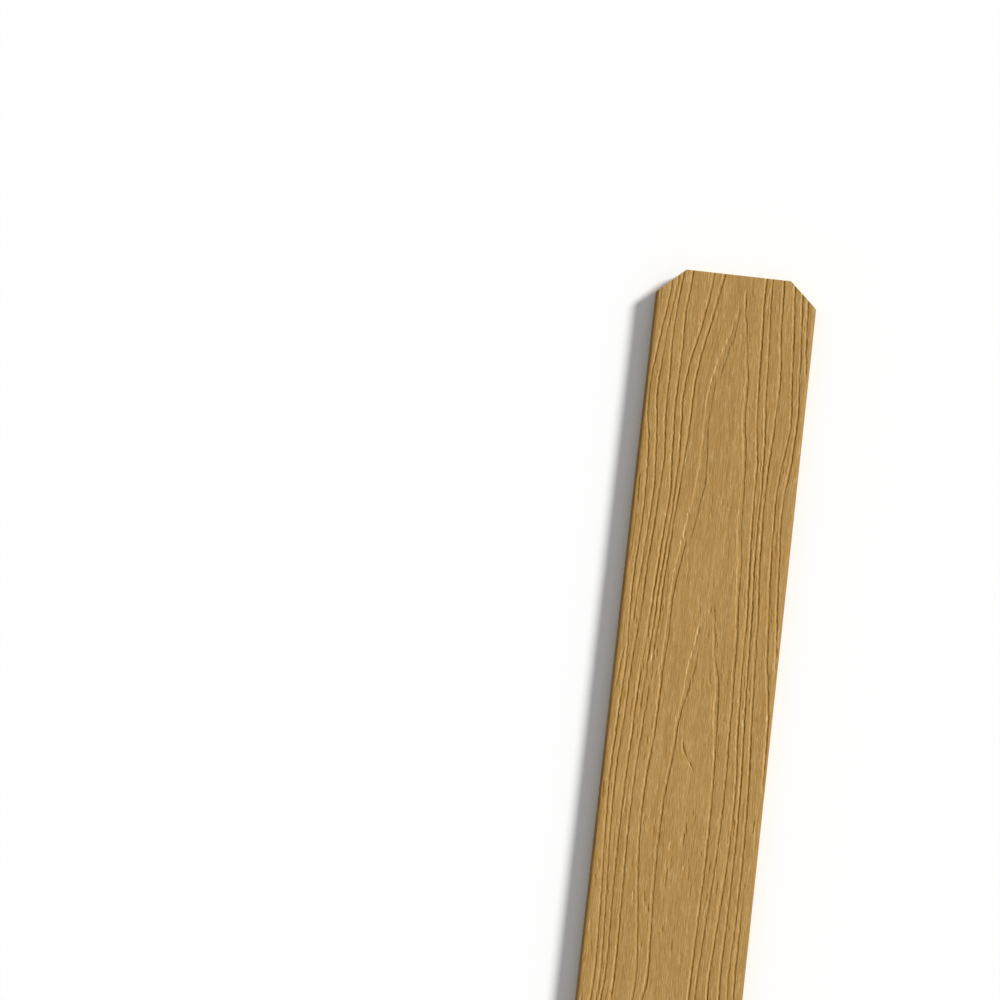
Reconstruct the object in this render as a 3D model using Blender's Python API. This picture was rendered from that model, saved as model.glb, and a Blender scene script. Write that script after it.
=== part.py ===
"""A dog-eared fence board of solid wood-plastic composite, lying flat on its back face.

The board is made here as it is made in the works: its section, with eased long edges, is
extruded, and the saw then takes the two ears off its head. Metres, +Z up. +Y runs along the
board to the dog-eared head, +X across it and +Z out of its front face. The origin is on the
floor, below the middle of the board.
"""

import math

import bmesh
import bpy
from mathutils import Vector

# Driving dimensions
LENGTH = 1.8288  # foot to head, 6 ft
WIDTH = 0.1397  # 5 1/2 in
THICKNESS = 0.0159  # 5/8 in
EDGE_RADIUS = 0.0025  # rounding of the four long edges
EAR_ACROSS = 0.0243  # each ear, measured along the head
EAR_ALONG = 0.0223  # each ear, measured down the side
ARC_STEPS = 8  # facets in each rounded edge

# The shade and sheen of the board as extruded
SHADE = (0.434, 0.258, 0.087, 1.0)
ROUGHNESS = 0.62

# An edge that turns further than this shows as a corner
SHARP_ANGLE = math.radians(30)


def clear_scene():
    for old in list(bpy.data.objects):
        bpy.data.objects.remove(old, do_unlink=True)


def composite_material():
    material = bpy.data.materials.new("wood_plastic_composite")
    material.use_nodes = True
    shader = material.node_tree.nodes["Principled BSDF"]
    shader.inputs["Base Color"].default_value = SHADE
    shader.inputs["Roughness"].default_value = ROUGHNESS
    shader.inputs["Metallic"].default_value = 0.0
    return material


def section_outline():
    """The (x, z) points of the board's section, one quarter arc for each long edge."""
    in_x = WIDTH / 2 - EDGE_RADIUS
    low, high = EDGE_RADIUS, THICKNESS - EDGE_RADIUS
    arcs = [(in_x, low, -90), (in_x, high, 0), (-in_x, high, 90), (-in_x, low, 180)]
    outline = []
    for x, z, start in arcs:
        for step in range(ARC_STEPS + 1):
            angle = math.radians(start + 90 * step / ARC_STEPS)
            outline.append((x + EDGE_RADIUS * math.cos(angle), z + EDGE_RADIUS * math.sin(angle)))
    return outline


def extrude_section(board):
    """Runs the section from the foot, at -Y, to the head."""
    foot = [board.verts.new((x, -LENGTH / 2, z)) for x, z in section_outline()]
    grown = bmesh.ops.extrude_face_region(board, geom=[board.faces.new(foot)])
    head = [item for item in grown["geom"] if isinstance(item, bmesh.types.BMVert)]
    bmesh.ops.translate(board, verts=head, vec=(0, LENGTH, 0))


def saw_ear(board, side):
    """Takes one ear off the head. side is +1 for the ear at +X and -1 for the one at -X."""
    on_head = Vector((side * (WIDTH / 2 - EAR_ACROSS), LENGTH / 2, 0))
    outward = Vector((side * EAR_ALONG, EAR_ACROSS, 0)).normalized()
    cut = bmesh.ops.bisect_plane(
        board,
        geom=board.verts[:] + board.edges[:] + board.faces[:],
        plane_co=on_head,
        plane_no=outward,
        clear_outer=True,
    )
    rim = [item for item in cut["geom_cut"] if isinstance(item, bmesh.types.BMEdge)]
    bmesh.ops.contextual_create(board, geom=rim)


def fence_board():
    board = bmesh.new()
    extrude_section(board)
    for side in (+1, -1):
        saw_ear(board, side)
    bmesh.ops.recalc_face_normals(board, faces=board.faces)
    mesh = bpy.data.meshes.new("fence_board")
    board.to_mesh(mesh)
    board.free()
    mesh.materials.append(composite_material())
    mesh.shade_smooth()
    mesh.set_sharp_from_angle(angle=SHARP_ANGLE)
    node = bpy.data.objects.new("fence_board", mesh)
    bpy.context.scene.collection.objects.link(node)


clear_scene()
fence_board()
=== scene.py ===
"""The looks of a dog-eared fence board: wood grain embossed in a solid wood-plastic composite.

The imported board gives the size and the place. Here its faces get the grain that an embossing
roller prints, as real relief in the mesh, and its sawn ends their rough cut. Places on a face
are written as a pair in millimetres: along, from the head, and across, from the left edge.
"""

import math

import bmesh
import bpy
import numpy as np
from mathutils import Euler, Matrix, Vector


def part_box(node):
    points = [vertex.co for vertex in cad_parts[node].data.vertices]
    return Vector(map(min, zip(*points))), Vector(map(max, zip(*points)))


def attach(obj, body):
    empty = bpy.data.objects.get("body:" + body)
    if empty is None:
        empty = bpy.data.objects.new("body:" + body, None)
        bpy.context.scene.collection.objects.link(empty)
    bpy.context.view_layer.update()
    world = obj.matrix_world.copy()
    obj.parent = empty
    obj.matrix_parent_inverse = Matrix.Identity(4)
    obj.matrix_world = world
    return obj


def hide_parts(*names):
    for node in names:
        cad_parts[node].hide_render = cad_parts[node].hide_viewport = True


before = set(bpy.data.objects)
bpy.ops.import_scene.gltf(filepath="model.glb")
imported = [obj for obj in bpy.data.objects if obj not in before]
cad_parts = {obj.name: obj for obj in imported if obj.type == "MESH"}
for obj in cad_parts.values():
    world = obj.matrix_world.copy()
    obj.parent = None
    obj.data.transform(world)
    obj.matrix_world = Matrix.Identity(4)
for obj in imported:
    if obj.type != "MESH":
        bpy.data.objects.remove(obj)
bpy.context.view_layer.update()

MM = 0.001
LOW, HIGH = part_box("fence_board")
LENGTH = (HIGH[1] - LOW[1]) / MM
WIDTH = (HIGH[0] - LOW[0]) / MM
THICKNESS = (HIGH[2] - LOW[2]) / MM

# The section and the saw cuts, in millimetres, as the solid has them
EDGE_RADIUS = 2.5
EAR_ACROSS = 24.3
EAR_ALONG = 22.3

# The embossing roller
REPEAT = 609.6  # length of board that one turn prints
BACK_TURN = 253.0  # how far the back face's print is ahead of the front's
DEEPER = 1.5  # grooves and marks are this many times as deep as they were judged below
DEEPEST = 0.92  # but nothing is deeper than this
HUNDREDTHS = 100  # of a millimetre, in which the depths of grooves and marks are written
BRIGHT_WALL = 1.1  # width of a groove's left wall
DARK_WALL = 0.9  # width of its right wall, which is steeper
PAINTED_SHADE_FADE = 1.0  # the painted shade in a groove lies along the foot of its right wall, which faces away from the key light, and fades over this
PAINTED_SHADE_START = 1.3  # it starts this many times the fade before the wall
PAINTED_SHADE_WIDTH = 2.0  # a groove wider than this gets less painted shade
PAINTED_SHADE_OF_FIBRES = 0.8  # and a fibre gets painted shade by this share of its depth
HIGHLIGHT_LINE = 0.7  # half the width of the painted highlight that runs along a groove's left wall, which faces the key light
SHOULDER = 6.5  # the face falls away over this width beside the eased edges
SHOULDER_DROP = 0.45
TAPER = 14.0  # length over which a groove starts and ends
WANDER = 0.18  # how much a wall wanders, over these lengths
WANDER_LENGTHS = (5.1, 8.3, 12.9, 20.7)
DEPTH_WANDER = 0.22  # and the share by which the depth does
PHASES = 1000  # a groove's wandering starts at random within this
WIDTH_PHASE = 40  # its width and its depth start elsewhere, so that they wander by themselves
DEPTH_PHASE = 80
RASTER_ALONG = 1.2  # spacing of the figure's raster
RASTER_ACROSS = 0.1
SHORT_OF_LAST = 1.001  # in columns: a place is read no nearer the end, so that there is a next column
LEAN_SPREAD = (5, 21)  # rows and columns over which the lean of the grain is spread
STEEP_SPREAD = (5, 5)  # and how steep the figure is

# The grooves of the figure, each as the points it runs through: (along, across, width, depth).
# Across is at the right wall, and the width reaches to the left. A width that stays the same isn't
# written again, and depths are in hundredths of a millimetre. A groove that ends past the repeat
# runs into the next turn's one in its place.
# Across was read between the board's outlines: on the face it is PLACE_SHIFT + PLACE_SCALE times that.
PLACE_SHIFT = 0.62
PLACE_SCALE = 0.9925
GROOVES = [
    # along the left edge
    [(12, 5, 1.4, 40), (24, 4.4, 45), (38, 3.4, 30)],
    [(-20, 12.9, 1.7, 30), (0, 13.3, 35), (20, 12.5, 35), (35, 11.2, 40), (50, 9.2, 45), (65, 7.5, 40),
     (80, 5.9, 45), (96, 4.2, 35), (115, 4, 35), (130, 4.8, 30), (150, 7.8, 40), (166, 8.9, 45),
     (182, 9.7, 35), (202, 10.3, 45), (222, 10.2, 35), (240, 9.5, 40), (262, 8.6, 55), (290, 8.5, 50),
     (310, 9, 25), (346, 10.3, 1.8, 40), (366, 9.5, 35), (386, 8.8, 50), (410, 8.2, 55), (436, 7.3, 45),
     (480, 8.4, 35), (545, 11.5, 1.7, 35), (609.6, 13.3, 35), (625, 12.9, 30)],
    [(326, 7.3, 1.4, 15), (340, 6.4, 1.5, 35), (356, 5, 35), (372, 3.8, 20)],
    [(-14, 18.3, 1.6, 30), (2, 18.3, 35), (18, 17.4, 30), (44, 14.8, 30), (60, 13.1, 20), (80, 12.1, 30),
     (97, 11, 1.7, 50), (114, 10.9, 50), (130, 12.8, 50), (150, 14.6, 40), (170, 16, 40), (190, 17.3, 50),
     (206, 17, 35), (226, 16, 35), (246, 15, 35), (262, 14.5, 45), (286, 12.9, 18), (303, 12.5, 30),
     (320, 11.6, 20)],
    # the left side
    [(-14, 22.4, 1.7, 35), (3, 22.5, 40), (18, 21, 50), (34, 20, 35), (52, 19.1, 30), (74, 19, 35),
     (92, 20, 50), (108, 19.7, 35), (130, 20.5, 1.8, 45), (152, 22.3, 45), (168, 23.4, 55), (182, 22.7, 35),
     (206, 21.8, 40), (226, 21, 50), (244, 20, 50), (260, 19, 35), (276, 18.7, 60), (294, 18.2, 30),
     (316, 16.8, 1.7, 20), (336, 15.4, 30), (358, 14.7, 40), (380, 14.4, 35), (404, 13.2, 35),
     (426, 12.3, 45), (490, 13, 35), (550, 16.2, 1.6, 35), (609.6, 18.3, 35), (624, 18.2, 30)],
    [(-14, 30.4, 1.8, 45), (4, 30.3, 50), (18, 29.5, 40), (34, 27.9, 30), (48, 28, 55), (64, 28.5, 40),
     (88, 28.2, 40), (108, 27.8, 50), (122, 27.6, 40), (140, 28.8, 45), (156, 29.5, 60), (170, 30.1, 40),
     (186, 31.5, 50), (200, 31.8, 40), (214, 30.7, 40), (228, 30, 60), (244, 29, 50), (262, 28.4, 60),
     (278, 27.4, 65), (294, 26.9, 45), (310, 26, 35), (330, 25, 20), (346, 23.9, 30), (360, 23.4, 60),
     (376, 22.8, 50), (390, 22.2, 35), (404, 22.4, 60), (424, 21.5, 45), (490, 20.6, 40),
     (550, 21.4, 1.7, 35), (609.6, 22.3, 40), (624, 21.5, 40)],
    [(318, 27.2, 1.6, 30), (334, 28.6, 35), (352, 27.8, 20), (380, 27, 35), (394, 26.8, 15)],
    [(372, 31.3, 1.6, 20), (396, 30.5, 45), (424, 29, 35), (480, 28, 1.7, 40), (550, 29.4, 1.8, 40),
     (609.6, 30.1, 50), (624, 29.6, 45)],
    [(-14, 48.6, 1.8, 30), (4, 48.5, 30), (18, 47.6, 2, 40), (34, 45.3, 2.2, 50), (50, 42.8, 45),
     (66, 39.3, 2, 55), (80, 36.5, 1.8, 50), (96, 34.6, 50), (114, 33.6, 50), (132, 34.7, 45),
     (148, 35.3, 65), (164, 36.1, 35), (184, 35.6, 45), (206, 35.3, 40), (234, 33.6, 40), (254, 32.5, 60),
     (272, 31.3, 40), (290, 30.7, 50), (304, 30.5, 1.7, 45), (314, 29.9, 1.6, 35), (334, 29.6, 20)],
    [(-14, 58.3, 2, 50), (4, 57.9, 2.4, 55), (18, 55.3, 2.2, 40), (34, 52.8, 2, 40), (48, 50.3, 60),
     (64, 47, 45), (84, 44, 1.8, 50), (98, 42.7, 55), (118, 42.2, 50), (138, 42, 45), (156, 41.2, 45),
     (176, 40, 1.7, 25), (198, 39, 55), (214, 37.8, 35), (236, 36.8, 40), (250, 36, 50), (264, 35.3, 40),
     (278, 34.7, 55), (300, 34.3, 1.8, 50), (312, 33.6, 1.7, 30), (322, 33.1, 1.6, 30), (338, 32.6, 20)],
    # the first cathedral, left of its tip
    [(24, 75, 3.2, 15), (44, 73.4, 4.6, 30), (56, 71.4, 5.6, 30), (64, 69.2, 5, 45), (74, 67.4, 6, 30),
     (84, 64.8, 6.6, 45), (96, 63.4, 8.6, 20)],
    [(84, 61.4, 3.4, 20), (98, 60, 4.6, 35), (116, 58.8, 5, 30), (134, 58, 4.4, 25), (150, 59, 5, 35),
     (166, 60.2, 6.4, 40), (190, 60.2, 8.2, 45), (200, 58.3, 7.4, 40), (214, 57, 7.8, 35),
     (228, 54.4, 7, 30), (244, 52, 5.5, 20)],
    [(228, 51, 4, 30), (244, 48.9, 50), (256, 47.2, 4.6, 50), (268, 45.4, 3.6, 55), (280, 44.3, 2.8, 45),
     (296, 43.6, 2.6, 35), (318, 43.9, 3.4, 40), (336, 42.7, 2.8, 40), (366, 42.3, 2.2, 50),
     (388, 41.9, 2, 50), (410, 40.9, 35), (430, 39.2, 50), (474, 38, 40), (520, 40.6, 35),
     (566, 45.4, 1.9, 35), (609.6, 48.6, 1.8, 30), (624, 48, 35)],
    # the first cathedral, right of its tip
    [(8, 78.6, 1.5, 25), (21, 78.9, 1.7, 50), (32, 79.6, 25), (44, 82, 2, 35), (58, 84, 25),
     (74, 85.6, 2.2, 30), (88, 88, 2.4, 40), (106, 88.6, 40), (128, 89.2, 2.8, 40), (142, 91.5, 45),
     (154, 92.9, 2.6, 50), (168, 93.7, 2.4, 40), (190, 95.1, 3, 35), (212, 95.9, 4.2, 35),
     (232, 97.6, 4, 35), (250, 99.6, 3.8, 35), (268, 100, 3, 40), (290, 101, 2.3, 45),
     (312, 102.8, 2.2, 45), (344, 103.7, 40), (372, 104.8, 2, 40), (400, 105.3, 45), (430, 106.2, 40),
     (480, 106, 40), (530, 104, 1.9, 35), (575, 101.5, 1.8, 35), (609.6, 100.3, 1.7, 35), (624, 100.6, 40)],
    # the right side
    [(-14, 95, 1.7, 45), (4, 95, 1.8, 50), (26, 95, 55), (44, 96.1, 45), (60, 96.8, 55), (74, 97.1, 45),
     (92, 98, 50), (112, 99, 40), (130, 100.3, 30), (148, 102.5, 45), (164, 104.2, 55),
     (182, 104.3, 1.7, 30), (204, 105, 45), (224, 105.8, 1.8, 55), (248, 106.8, 60), (272, 108.1, 50),
     (298, 109.7, 45), (324, 109.7, 30), (350, 110.4, 40), (370, 111.3, 40), (390, 112, 55),
     (408, 113.2, 50), (430, 115, 40), (480, 115.7, 40), (530, 114, 40), (575, 111.5, 40),
     (609.6, 110.3, 50), (624, 111, 50)],
    [(-14, 100.2, 1.6, 30), (6, 100.3, 35), (24, 100.9, 45), (48, 102.4, 30), (78, 104.3, 1.7, 35),
     (106, 105.4, 35), (130, 107.5, 1.8, 40), (150, 109, 50), (166, 109.3, 55), (188, 110.2, 1.6, 35),
     (206, 110, 45), (232, 110.4, 35), (250, 111, 1.7, 55), (268, 112, 45), (292, 113.5, 50),
     (318, 114.3, 45), (340, 115, 40), (366, 116, 45), (384, 116.9, 55), (404, 117.8, 40), (422, 118.9, 55),
     (480, 120.4, 40), (545, 120.3, 40), (609.6, 120, 40), (624, 121, 40)],
    [(-14, 110.2, 1.8, 45), (4, 110.4, 50), (18, 111.2, 55), (38, 111.9, 35), (52, 112.8, 50),
     (66, 114.4, 35), (84, 115.9, 55), (104, 116.2, 30), (122, 115.4, 30), (138, 115.2, 50),
     (152, 114.4, 40), (164, 114, 55), (184, 113.7, 35), (206, 113.6, 35), (228, 114.8, 50),
     (244, 115.2, 50), (264, 116.3, 30), (278, 117.6, 50), (296, 119, 35), (320, 119.7, 35),
     (346, 121.1, 35), (372, 122.4, 40), (392, 123.5, 40), (410, 124.7, 50), (432, 126, 45),
     (490, 127.8, 40), (550, 127.7, 35), (609.6, 126.9, 1.7, 35), (624, 128, 40)],
    # along the right edge
    [(-14, 119.8, 1.7, 40), (8, 120.5, 45), (24, 121.6, 35), (42, 123.3, 1.8, 40), (54, 124.1, 55),
     (68, 125.2, 40), (90, 126.5, 40), (112, 128.5, 45), (128, 129.3, 35), (144, 127.8, 45),
     (162, 125.4, 35), (180, 123.9, 35), (196, 123.3, 45), (209, 124, 55), (226, 124, 25), (248, 125.2, 60),
     (262, 125.7, 45), (284, 127.5, 35), (310, 129.1, 40), (334, 131, 35), (354, 134, 1.9, 40),
     (372, 136.2, 40), (400, 137.6, 1.8, 55), (424, 138.4, 45), (450, 139.6, 30)],
    [(-14, 127, 1.7, 35), (10, 127.4, 40), (30, 129, 45), (48, 130, 30), (64, 131.6, 45), (84, 132.3, 30),
     (116, 134.6, 45), (140, 134, 50), (162, 133, 45), (186, 130.3, 30), (212, 129.8, 35), (242, 131.8, 35),
     (270, 133.4, 40), (290, 134.9, 50), (308, 136.6, 50), (328, 138.2, 50), (350, 139, 30)],
    [(-80, 131.6, 1.6, 20), (-40, 131.7, 35), (0, 132.3, 45), (20, 133.3, 50), (40, 134.2, 35),
     (56, 135.3, 45), (70, 136.7, 45), (92, 139.4, 35)],
    # the second cathedral, left of its tip and right of it
    [(292, 73.6, 2.6, 10), (308, 71.7, 3.6, 15), (322, 70.8, 4.2, 15), (334, 70.5, 5.8, 20),
     (346, 69.3, 6.6, 45), (356, 66.9, 5, 45), (368, 64.8, 3.6, 45), (380, 62.2, 2.8, 40),
     (394, 60.3, 2.4, 45), (412, 59.7, 2.2, 40), (428, 58.2, 45), (446, 56.4, 45), (484, 55, 2.1, 40),
     (530, 55.4, 35), (572, 57.2, 2, 40), (609.6, 58.3, 50), (624, 57, 2.1, 45)],
    [(283, 78.4, 1.5, 20), (292, 78, 1.6, 55), (301, 77.6, 1.5, 15)],
    [(286, 80.3, 1.6, 15), (300, 82.3, 2, 22), (322, 84.5, 38), (334, 86, 25), (346, 89.6, 2.6, 35),
     (360, 91.9, 3, 45), (380, 93.1, 3.8, 50), (402, 94.4, 2.6, 35), (416, 95, 2, 45), (440, 96, 35),
     (490, 96.8, 1.9, 40), (550, 96, 1.8, 35), (609.6, 95, 50), (624, 95, 50)],
    # a short check across the grain, below the second cathedral's tip
    [(400, 66, 1.4, 40), (409, 66.8, 1.5, 60), (416, 69.2, 45), (421, 71.8, 1.3, 15), (425, 75, 45),
     (431, 78.3, 20), (440, 82, 15)],
]

# Short marks of the figure: (along, across) where each starts and ends, and its depth as above.
# These have a steep right side, which shows as a short dark line and carries painted shade,
DARK_MARKS = [
    (8, 18.8, 18, 18.3, 35), (13, 17.6, 19, 17, 25), (22, 16.4, 28, 16, 20), (42, 15, 49, 14.2, 40),
    (43, 17.3, 48, 17.2, 35), (41, 37.4, 47, 36.6, 25), (46, 44.6, 50, 44.2, 30), (12, 98.8, 38, 99, 30),
    (15, 92.5, 40, 92.8, 12), (8, 107.5, 40, 108, 12), (0, 104.5, 14, 104.8, 12), (12, 74.5, 22, 74.5, 10),
    (8, 83.5, 20, 83.8, 20), (14, 85.8, 26, 86, 15), (50, 72.8, 62, 71.6, 35), (48, 85.2, 60, 86, 30),
    (52, 78.6, 60, 78.8, 15), (33, 74, 41, 73.5, 15), (20, 135.5, 50, 136.3, 20), (30, 131.5, 45, 132, 20),
    (60, 75.2, 67, 74.8, 30), (62, 73.2, 70, 72.8, 15), (60, 79, 70, 79.3, 20), (60, 82.3, 66, 82.5, 15),
    (62, 51.4, 78, 50.4, 15), (88, 48.2, 95, 47.8, 12), (93, 83.9, 103, 84.1, 30), (85, 20.8, 92, 20.8, 20),
    (100, 15.2, 110, 15.6, 15), (106, 16.8, 112, 17, 15), (76, 23, 84, 22.6, 15), (108, 36.5, 118, 37, 15),
    (97, 35.5, 106, 35.2, 15), (74, 93.2, 84, 93.8, 15), (112, 91.5, 120, 92, 20), (103, 95.8, 108, 96, 15),
    (115, 105.6, 121, 106.4, 30), (96, 119.5, 104, 120, 12), (62, 127, 80, 127.8, 12),
    (88, 129.8, 98, 130.4, 15), (70, 105.5, 90, 106.5, 12), (84, 111, 100, 111.4, 12),
    (123, 15.2, 136, 15.8, 15), (138, 16.4, 150, 17.2, 15), (155, 26.9, 164, 27.4, 20),
    (160, 28.6, 170, 29, 20), (150, 38.6, 160, 38.9, 15), (146, 39.3, 152, 39.5, 15),
    (149, 55.6, 158, 55.2, 35), (142, 49, 150, 48.8, 12), (165, 63.3, 178, 63.6, 20),
    (164, 61.8, 176, 62, 15), (168, 65.9, 178, 66, 15), (133, 76.4, 142, 77.6, 20),
    (133, 78.5, 140, 79.8, 18), (134, 81, 140, 81.6, 15), (146, 83.8, 154, 84, 15),
    (150, 76.6, 156, 77, 12), (128, 104.3, 146, 105.4, 20), (132, 102.5, 142, 103.3, 15),
    (157, 106.9, 171, 107, 40), (160, 117.8, 176, 118.3, 15), (158, 120.2, 168, 120.4, 12),
    (152, 123.4, 158, 123, 15), (160, 127, 172, 126.4, 25), (171, 131.6, 178, 132, 60),
    (150, 129.8, 160, 129.2, 20), (176, 36.6, 181, 36.8, 25), (130, 110.5, 150, 110.9, 12),
    (180, 3.6, 209, 4.3, 40), (205, 4.3, 250, 3.6, 20), (205, 8.2, 240, 7.8, 12),
    (197, 12.3, 214, 12.2, 12), (212, 14.2, 240, 13.8, 15), (229, 16.2, 236, 16, 25),
    (186, 19.6, 196, 19.4, 12), (186, 33.2, 200, 33.6, 15), (206, 33.4, 216, 33, 20),
    (222, 32.4, 240, 31.6, 20), (213, 35.2, 221, 34.6, 25), (200, 41, 210, 40.6, 12),
    (225, 26, 240, 25.6, 15), (195, 54.8, 202, 54.6, 25), (193, 72.6, 200, 72.6, 12),
    (191, 68.8, 204, 68.4, 20), (206, 69.2, 216, 69.2, 20), (194, 77.2, 203, 77.6, 20),
    (196, 81.6, 204, 81.8, 20), (196, 85, 210, 85.3, 12), (222, 84.8, 230, 85.2, 12),
    (196, 89.4, 206, 89.6, 12), (222, 91, 232, 91.4, 15), (228, 94.8, 238, 95.4, 20),
    (196, 97.8, 204, 98, 15), (184, 107.4, 240, 108, 20), (184, 111.7, 196, 112, 25),
    (200, 117, 212, 117, 12), (184, 125.6, 210, 125.6, 15), (216, 127, 240, 127.4, 20),
    (212, 121.4, 225, 121.8, 12), (228, 134, 240, 134, 10), (240, 6.6, 270, 6.4, 20),
    (244, 3.2, 262, 3.2, 15), (240, 16.6, 258, 16.2, 15), (275, 16, 300, 16.4, 15),
    (262, 17.6, 275, 17.2, 12), (242, 23, 252, 22.6, 12), (282, 24.6, 292, 24.2, 15),
    (246, 31, 256, 30.8, 25), (262, 36.8, 280, 37, 15), (262, 38.2, 300, 38.6, 15),
    (284, 33.2, 296, 32.8, 30), (290, 36.8, 300, 36.2, 30), (284, 41.9, 296, 41.7, 20),
    (283, 43.6, 296, 42.8, 35), (250, 54.2, 256, 54, 20), (258, 53.2, 266, 53.4, 15),
    (262, 51.6, 270, 51.4, 15), (246, 68.8, 256, 69, 12), (256, 69.6, 263, 69.4, 20),
    (262, 66.8, 268, 67, 15), (262, 73.6, 267, 73.8, 12), (250, 90.8, 262, 91.2, 12),
    (262, 92.6, 272, 93, 12), (270, 96.6, 280, 96.8, 15), (286, 66.2, 294, 65.8, 15),
    (288, 68.2, 299, 69, 30), (286, 74, 292, 74, 15), (288, 80, 296, 81, 30), (286, 85.4, 294, 85.6, 12),
    (282, 88.2, 290, 88.4, 12), (270, 104.7, 290, 106, 20), (242, 103, 262, 104, 12),
    (262, 113, 274, 113.6, 20), (282, 122, 292, 122.4, 12), (276, 123.6, 290, 124.3, 15),
    (252, 121, 266, 121.4, 12), (284, 129.4, 300, 130.4, 25), (250, 129.4, 262, 129.8, 15),
    (287, 4, 294, 4.2, 20), (289, 6, 296, 6, 15), (300, 12.6, 312, 12.7, 30), (304, 15.1, 313, 15.1, 35),
    (318, 13, 330, 12.6, 15), (330, 11.4, 342, 11.6, 20), (313, 16.9, 330, 16.2, 30),
    (330, 15.6, 345, 15.2, 35), (350, 14.8, 360, 14.8, 30), (300, 18.4, 312, 18, 15),
    (318, 19.8, 326, 19.8, 15), (310, 22.4, 322, 22.4, 12), (308, 25.9, 324, 26.6, 40),
    (322, 29.2, 345, 28.4, 45), (345, 28.6, 360, 28.8, 25), (336, 26.6, 350, 26, 20),
    (340, 24.8, 352, 25.2, 30), (350, 23.6, 360, 23.2, 40), (325, 32.8, 335, 32.4, 55),
    (312, 33.4, 326, 33.2, 25), (334, 32.6, 360, 33.2, 20), (299, 34.6, 310, 34.2, 40),
    (309, 36.2, 322, 36.4, 20), (328, 35.6, 340, 36, 25), (345, 37, 360, 36.6, 20),
    (340, 39.6, 352, 39.6, 25), (318, 41, 332, 41, 15), (312, 46.2, 330, 46.4, 15),
    (324, 48.6, 334, 48.8, 12), (344, 49.6, 352, 49.6, 12), (305, 53.6, 314, 53.8, 15),
    (308, 55.2, 318, 55.2, 12), (312, 51.4, 322, 51.4, 12), (329, 55, 336, 54.4, 15),
    (335, 59.4, 342, 59.2, 20), (322, 73.6, 331, 71.6, 20), (322, 76.6, 328, 74.8, 30),
    (326, 67.2, 333, 68, 25), (342, 71, 348, 70.4, 15), (350, 68.8, 358, 69.2, 30), (308, 78, 318, 78, 15),
    (302, 86.8, 312, 87.6, 25), (300, 84.4, 310, 84.6, 25), (310, 84.4, 326, 85, 35),
    (317, 86, 331, 86.6, 30), (332, 84.2, 338, 84.4, 15), (333, 86.8, 341, 87.4, 35),
    (336, 81.4, 344, 81, 15), (342, 82.6, 356, 83.6, 30), (346, 80.8, 356, 81.4, 15),
    (342, 92, 352, 93.4, 15), (340, 98.7, 359, 98.9, 25), (343, 106.6, 352, 106.8, 25),
    (343, 112.6, 359, 113.4, 35), (346, 117.5, 360, 118.4, 30), (304, 111.2, 318, 111.4, 12),
    (312, 124.8, 330, 125, 10), (324, 120.8, 333, 121.2, 30), (330, 124, 345, 124.6, 12),
    (318, 127.6, 330, 128, 12), (360, 4.2, 368, 4, 30), (362, 7, 376, 6.8, 20), (376, 5, 392, 4.6, 10),
    (366, 11.8, 380, 12, 15), (372, 19.2, 392, 18.6, 20), (362, 19.3, 372, 19.4, 20),
    (392, 19.8, 404, 18.8, 15), (408, 17.6, 418, 17.2, 15), (360, 24.7, 368, 24.6, 20),
    (361, 27.9, 368, 28.4, 20), (374, 26.3, 385, 27.2, 40), (385, 25.2, 398, 25.2, 20),
    (398, 26.6, 412, 26.4, 25), (394, 27.6, 402, 28, 20), (361, 31.8, 385, 31.8, 35),
    (388, 32.9, 400, 32.6, 20), (404, 36, 414, 35.4, 30), (390, 35, 398, 34.8, 15), (360, 37, 372, 37, 20),
    (386, 38.5, 400, 38.6, 25), (392, 37.2, 398, 37.4, 15), (408, 39, 420, 38.8, 15),
    (418, 35, 428, 34.6, 25), (363, 46.2, 376, 45.8, 15), (404, 43.2, 416, 43.4, 12),
    (412, 52.4, 420, 52.4, 12), (363, 70.4, 376, 70.8, 15), (366, 67.5, 376, 66, 20),
    (371, 64.6, 379, 63, 15), (385, 66.4, 393, 64.6, 15), (388, 65.4, 394, 67, 15),
    (384, 60.6, 392, 60.8, 25), (380, 56.8, 388, 56.4, 15), (392, 69, 400, 69.4, 12),
    (400, 64, 408, 63.6, 12), (371, 89.6, 379, 90, 15), (378, 92, 396, 92.6, 25),
    (394, 95.8, 408, 96.2, 20), (408, 96.6, 420, 97, 12), (372, 86.8, 384, 87, 10),
    (363, 97.2, 380, 98, 15), (380, 99.2, 389, 98.8, 20), (362, 107, 380, 107.4, 15),
    (380, 107.6, 392, 108.2, 12), (393, 103.4, 404, 104.2, 25), (362, 118.8, 372, 118.6, 30),
    (375, 114.6, 386, 115.4, 35), (362, 113.4, 376, 113.8, 25), (400, 115.2, 416, 116, 20),
    (412, 117.4, 422, 118, 20), (372, 130, 380, 129.6, 15), (386, 133, 392, 134.4, 20),
    (372, 126.6, 388, 127, 12), (384, 125.4, 390, 125.4, 20), (362, 131.6, 376, 132, 10),
    (400, 132, 410, 132, 10), (408, 66.8, 417, 68.4, 50),
]
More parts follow.
